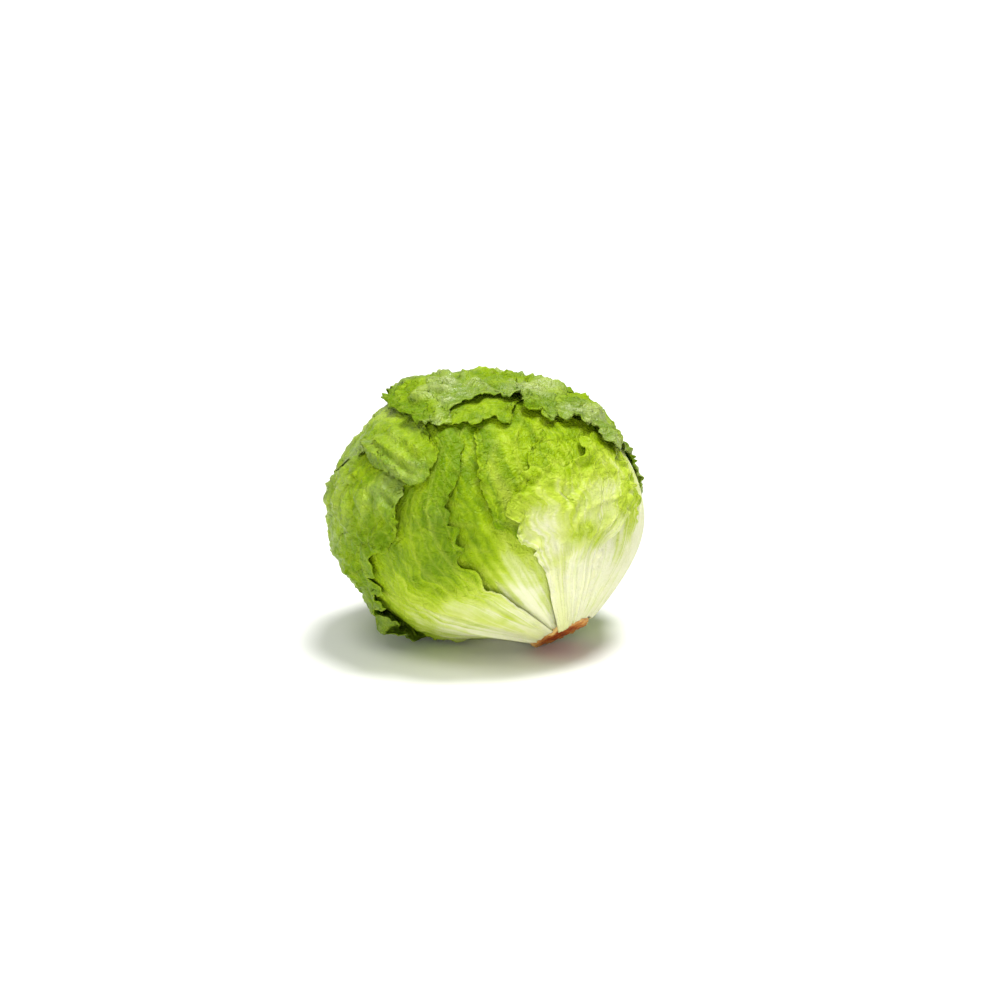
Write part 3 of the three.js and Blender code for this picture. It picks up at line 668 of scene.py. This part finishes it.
# Pale coat of the wax, partly a painted sheen where highlights fall on the puffs.
WAX_AND_SHEEN_COLOUR = "#CED392"
MOTTLE_SIZE = 5  # patches of lighter and darker green, in mm
NET_SIZE = 3.4  # meshes of the finest veins
CREASE_SIZE = 4.2  # from one fine crease to the next
GRAIN_SIZE = 1.1  # the skin's own grain, coarser than life so that it shows


def crisp_leaf(name):
    material = bpy.data.materials.new(name)
    material.use_nodes = True
    tree = material.node_tree
    shader = tree.nodes["Principled BSDF"]
    spot = node(tree, "ShaderNodeTexCoord").outputs["Object"]
    given = {key: node(tree, "ShaderNodeAttribute", attribute_name=key).outputs["Fac"]
             for key in ("green", "vein", "streak", "wax_and_sheen", "rim")}

    # Colour: from cream to green, mottled and streaked, and paler at its rim as a painted glow of
    # light through the thin edge
    mottle = node(tree, "ShaderNodeTexNoise", {
        "Vector": spot, "Scale": 1000 / MOTTLE_SIZE, "Detail": 3}).outputs["Fac"]
    centred = node(tree, "ShaderNodeMath", {0: mottle, 1: 0.5}, operation="SUBTRACT").outputs[0]
    level = given["green"]
    for part, weight in ((centred, 0.22), (given["streak"], 0.15), (given["rim"], -0.12)):
        level = node(tree, "ShaderNodeMath", {0: part, 1: weight, 2: level},
                     operation="MULTIPLY_ADD").outputs[0]
    ramp = node(tree, "ShaderNodeValToRGB", {"Fac": level})
    stops = ramp.color_ramp.elements
    while len(stops) < len(LEAF_COLOURS):
        stops.new(0.5)
    for stop, (position, colour) in zip(stops, LEAF_COLOURS):
        stop.position = position
        stop.color = linear(colour)

    # Veins, with a net of the finest ones between them, and the waxy coat over all, partly a painted
    # sheen
    net = node(tree, "ShaderNodeTexVoronoi", {"Vector": spot, "Scale": 1000 / NET_SIZE},
               feature="DISTANCE_TO_EDGE").outputs["Distance"]
    thread = node(tree, "ShaderNodeMapRange", {0: net, 1: 0.0, 2: 0.12, 3: 0.05, 4: 0.0}).outputs[0]
    lines = node(tree, "ShaderNodeMath", {0: given["vein"], 1: 0.42, 2: thread},
                 operation="MULTIPLY_ADD").outputs[0]
    veined = node(tree, "ShaderNodeMix", {0: lines, 6: ramp.outputs[0], 7: linear(VEIN_COLOUR)},
                  data_type="RGBA").outputs[2]
    wax_and_sheen_patches = node(tree, "ShaderNodeMath", {0: given["wax_and_sheen"], 1: mottle},
                 operation="MULTIPLY").outputs[0]
    wax_and_sheen_share = node(tree, "ShaderNodeMath", {0: wax_and_sheen_patches, 1: 0.5}, operation="MULTIPLY").outputs[0]
    with_wax_and_sheen = node(tree, "ShaderNodeMix", {0: wax_and_sheen_share, 6: veined, 7: linear(WAX_AND_SHEEN_COLOUR)},
                 data_type="RGBA").outputs[2]
    tree.links.new(with_wax_and_sheen, shader.inputs["Base Color"])

    # Fine relief: grain, veins, and pillows between sharp creases where the blade is limp
    height = node(tree, "ShaderNodeTexNoise", {
        "Vector": spot, "Scale": 1000 / GRAIN_SIZE, "Detail": 2}).outputs["Fac"]
    crease = node(tree, "ShaderNodeTexNoise", {
        "Vector": spot, "Scale": 1000 / CREASE_SIZE, "Detail": 2, "Distortion": 0.6}).outputs["Fac"]
    off_crease = node(tree, "ShaderNodeMath", {0: crease, 1: 0.5}, operation="SUBTRACT").outputs[0]
    pillow = node(tree, "ShaderNodeMath", {0: off_crease}, operation="ABSOLUTE").outputs[0]
    limp = node(tree, "ShaderNodeMapRange", {
        0: given["green"], 1: 0.15, 2: 0.55, 3: 0.6, 4: 5}).outputs[0]
    for part, weight in ((lines, 0.9), (pillow, limp)):
        height = node(tree, "ShaderNodeMath", {0: part, 1: weight, 2: height},
                      operation="MULTIPLY_ADD").outputs[0]
    bump = node(tree, "ShaderNodeBump", {"Height": height, "Strength": 0.75, "Distance": 0.0007})
    tree.links.new(bump.outputs[0], shader.inputs["Normal"])

    # Gloss: moist, and shinier where the wax lies
    matt = node(tree, "ShaderNodeMapRange", {0: mottle, 1: 0.3, 2: 0.7, 3: 0.3, 4: 0.45}).outputs[0]
    tree.links.new(matt, shader.inputs["Roughness"])
    shader.inputs["IOR"].default_value = 1.4
    waxy = node(tree, "ShaderNodeMapRange", {
        0: given["wax_and_sheen"], 1: 0.0, 2: 1.0, 3: 0.12, 4: 0.85}).outputs[0]
    tree.links.new(waxy, shader.inputs["Specular IOR Level"])
    shader.inputs["Subsurface Weight"].default_value = 0.15
    shader.inputs["Subsurface Radius"].default_value = (0.8, 1.0, 0.25)
    shader.inputs["Subsurface Scale"].default_value = 0.002
    return material


blade_skin = crisp_leaf("crisp_lettuce_leaf")
for leaf in LEAVES:
    piece = leaf_piece(leaf)
    piece.data.materials.append(blade_skin)
    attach(piece, "root")
    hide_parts(leaf["name"])


# Heart
# The dense ball of young leaves that the wrappers close round. It grew as one tight bud, so it is
# one body here. It steps down at the edge of each packed leaf, and a flat seat holds the stem.
CUT_DISTANCE = 75.5  # cut face of the stem, from the middle of the head
STEM_LENGTH = 12.5  # from the cut face in to the heart
HEART_ROWS = 90
HEART_COLUMNS = 160
HEART_WRAPS = 5  # packed leaves that show their edges, round the head
HEART_STEP = 1.2  # down at such an edge
HEART_AIR = 0.2


def ringed(name, points, columns, attributes, turned=False):
    """A closed body from a first point, rings of points and a last point, in mm."""
    last = len(points) - 1
    ring = np.arange(1, last).reshape(-1, columns)
    beside = np.roll(ring, -1, axis=1)
    faces = np.stack((ring[:-1], ring[1:], beside[1:], beside[:-1]), axis=-1)
    faces = faces.reshape(-1, 4).tolist()
    faces += [(0, a, b) for a, b in zip(ring[0].tolist(), beside[0].tolist())]
    faces += [(last, b, a) for a, b in zip(ring[-1].tolist(), beside[-1].tolist())]
    if turned:
        faces = [face[:1] + face[:0:-1] for face in faces]
    return as_object(name, points, faces, attributes)


def heart_surface(alpha, psi):
    d = direction(alpha, psi)
    stack = stack_at(d)[2]
    wrap = HEART_WRAPS * psi / 360 + 0.45 * np.sin(np.radians(1.7 * alpha)) + 10
    shown = smooth(20, 60, alpha) * (1 - smooth(140, 175, alpha))
    step = HEART_AIR + HEART_STEP * (1 - wrap % 1) * shown
    seat = (CUT_DISTANCE - STEM_LENGTH) / np.cos(np.radians(np.minimum(alpha, 60)))
    radius = np.minimum(heart_radius(d, stack) - step, np.where(alpha < 60, seat, np.inf))
    return lay(d * radius[:, None], d, stack)


rings = np.linspace(0, 180, HEART_ROWS + 1)[1:-1]
turns = np.arange(HEART_COLUMNS) * 360 / HEART_COLUMNS
heart_alpha = np.concatenate(([0], np.repeat(rings, HEART_COLUMNS), [180]))
heart_psi = np.concatenate(([0], np.tile(turns, HEART_ROWS - 1), [0]))
heart = ringed("packed_heart", heart_surface(heart_alpha, heart_psi), HEART_COLUMNS,
               {"green": np.full(len(heart_alpha), 0.6)})
heart.data.materials.append(blade_skin)
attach(heart, "root")
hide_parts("heart")


# Cut stem
# The core of the plant, cut through with a knife. The wet cut browns in the air, most of all in
# its middle, and leaves a cream rim.
CUT_RADIUS = 16.0
CUT_SLOPE = 0.13  # of the knife cut, across the stem
SEAT_GAP = 0.4
STEM_SIDES = 120
CUT_RINGS = 28  # rings of points across the cut face
DOME = 0.5  # height of the middle of the cut over its rim
FLOOR_GAP = 0.05


def stem_piece():
    inside = CUT_DISTANCE - STEM_LENGTH + SEAT_GAP
    widen = CUT_RADIUS / CUT_DISTANCE
    profile = [(0, inside), (widen * inside - 0.8, inside),
               (widen * (CUT_DISTANCE - 6) - 0.3, CUT_DISTANCE - 6),
               (CUT_RADIUS - 0.7, CUT_DISTANCE - 3), (CUT_RADIUS, CUT_DISTANCE - 1.6),
               (CUT_RADIUS - 0.5, CUT_DISTANCE - 0.5)]
    profile += [(CUT_RADIUS * k, CUT_DISTANCE + DOME * (1 - k))
                for k in np.linspace(0.93, 0.03, CUT_RINGS)]
    radius, height = np.array(profile).T
    turn = np.linspace(0, 2 * np.pi, STEM_SIDES, endpoint=False)
    r, h = radius[1:, None], height[1:, None]
    x, z = r * np.sin(turn), r * np.cos(turn)
    near = smooth(inside + 4, CUT_DISTANCE - 3, h)
    rings = np.stack((x, h + near * CUT_SLOPE * x, z), axis=-1).reshape(-1, 3)

    # The knife tore the fibres, so the cut is rough, and the stem isn't quite round.
    worn = ripple(rings, 3.6, 11) * 0.9 + ripple(rings, 1.3, 12) * 0.35
    rings[:, 1] += worn * smooth(CUT_DISTANCE - 3, CUT_DISTANCE - 1, h + 0 * x).reshape(-1)
    rings[:, (0, 2)] *= (1 + 0.02 * ripple(rings, 5, 13))[:, None]
    points = np.vstack(([[0, inside, 0]], rings, [[0, CUT_DISTANCE + DOME - 0.1, 0]]))
    at_cut = smooth(CUT_DISTANCE - 2.6, CUT_DISTANCE - 1.2, height[1:])
    world = points[:, :1] * SIDE + points[:, 1:2] * STEM + points[:, 2:] * np.cross(SIDE, STEM)
    world[:, 2] = np.maximum(world[:, 2] + HEAD_HEIGHT, FLOOR_GAP)
    return ringed("browned_stem", world, STEM_SIDES, turned=True, attributes={
        "depth": np.concatenate(([1], np.repeat(radius[1:], STEM_SIDES) / CUT_RADIUS, [0])),
        "on_cut": np.concatenate(([0], np.repeat(at_cut, STEM_SIDES), [1]))})


# Cut plant flesh: wet fibres that dry and brown unevenly, so the cut is blotched and matt.
BROWNS = [(0.8, "#6E2A08"), (1.35, "#A54C14"), (1.8, "#C5803A"), (2.15, "#DDB56C")]
BROWN_SPAN = 2.3  # highest level that the colours reach
STEM_SKIN = "#EFE9C4"
BLOTCH_SIZE = 4.2  # in mm
FIBRE_SIZE = 1.3


def browned_flesh(name):
    material = bpy.data.materials.new(name)
    material.use_nodes = True
    tree = material.node_tree
    shader = tree.nodes["Principled BSDF"]
    spot = node(tree, "ShaderNodeTexCoord").outputs["Object"]
    depth, on_cut = (node(tree, "ShaderNodeAttribute", attribute_name=key).outputs["Fac"]
                     for key in ("depth", "on_cut"))
    blotch = node(tree, "ShaderNodeTexNoise", {
        "Vector": spot, "Scale": 1000 / BLOTCH_SIZE, "Detail": 5}).outputs["Fac"]
    level = node(tree, "ShaderNodeMath", {0: blotch, 1: 2, 2: depth},
                 operation="MULTIPLY_ADD").outputs[0]
    scaled = node(tree, "ShaderNodeMath", {0: level, 1: 1 / BROWN_SPAN},
                  operation="MULTIPLY").outputs[0]
    ramp = node(tree, "ShaderNodeValToRGB", {"Fac": scaled})
    stops = ramp.color_ramp.elements
    while len(stops) < len(BROWNS):
        stops.new(0.5)
    for stop, (position, colour) in zip(stops, BROWNS):
        stop.position = position / BROWN_SPAN
        stop.color = linear(colour)
    skin = node(tree, "ShaderNodeMix", {0: on_cut, 6: linear(STEM_SKIN), 7: ramp.outputs[0]},
                data_type="RGBA").outputs[2]
    tree.links.new(skin, shader.inputs["Base Color"])
    fibre = node(tree, "ShaderNodeTexNoise", {
        "Vector": spot, "Scale": 1000 / FIBRE_SIZE, "Detail": 4}).outputs["Fac"]
    bump = node(tree, "ShaderNodeBump", {"Height": fibre, "Strength": 0.6, "Distance": 0.0006})
    tree.links.new(bump.outputs[0], shader.inputs["Normal"])
    dry = node(tree, "ShaderNodeMapRange", {
        0: blotch, 1: 0.3, 2: 0.7, 3: 0.45, 4: 0.75}).outputs[0]
    tree.links.new(dry, shader.inputs["Roughness"])
    shader.inputs["IOR"].default_value = 1.4
    shader.inputs["Specular IOR Level"].default_value = 0.3
    return material


stem = stem_piece()
stem.data.materials.append(browned_flesh("browned_stem_flesh"))
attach(stem, "root")
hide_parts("stem")


# Table and light
# A plain pale surface under a broad soft sky from above. A window lights the head from the front
# left, and a white card low in front lifts the shadows under it.
FLOOR_HALF = 30
WORLD_STRENGTH = 0.38
SKY_STRENGTH = 3.5
SKY_ANGLE = math.radians(22)
SKY_FROM = (0.2, 0.08, 1)
WINDOW = dict(place=(-0.35, -0.35, 1.1), size=0.5, power=4)
CARD = dict(place=(-0.3, -1, 0.12), size=0.5, power=3.2)

floor_mesh = bpy.data.meshes.new("floor")
corners = [(-FLOOR_HALF, -FLOOR_HALF, 0), (FLOOR_HALF, -FLOOR_HALF, 0),
           (FLOOR_HALF, FLOOR_HALF, 0), (-FLOOR_HALF, FLOOR_HALF, 0)]
floor_mesh.from_pydata(corners, [], [(0, 1, 2, 3)])
floor = bpy.data.objects.new("floor", floor_mesh)
bpy.context.collection.objects.link(floor)
paper = bpy.data.materials.new("matt_white_paper")
paper.use_nodes = True
paper_shader = paper.node_tree.nodes["Principled BSDF"]
paper_shader.inputs["Base Color"].default_value = linear("#F4F4F2")
paper_shader.inputs["Roughness"].default_value = 0.9
floor_mesh.materials.append(paper)

world = bpy.data.worlds.new("studio")
world.use_nodes = True
background = world.node_tree.nodes["Background"]
background.inputs["Color"].default_value = linear("#FFFFFF")
background.inputs["Strength"].default_value = WORLD_STRENGTH
bpy.context.scene.world = world

sun = bpy.data.objects.new("broad_sky", bpy.data.lights.new("broad_sky", "SUN"))
sun.data.energy = SKY_STRENGTH
sun.data.angle = SKY_ANGLE
sun.rotation_euler = Vector(SKY_FROM).to_track_quat("Z", "Y").to_euler()
bpy.context.collection.objects.link(sun)


def softbox(name, place, size, power):
    light = bpy.data.lights.new(name, "AREA")
    light.shape = "DISK"
    light.size = size
    light.energy = power
    box = bpy.data.objects.new(name, light)
    box.location = place
    box.rotation_euler = (Vector(place) - aim).to_track_quat("Z", "Y").to_euler()
    bpy.context.collection.objects.link(box)


softbox("window_above", **WINDOW)
softbox("white_card", **CARD)
bpy.context.scene.view_settings.view_transform = "Standard"
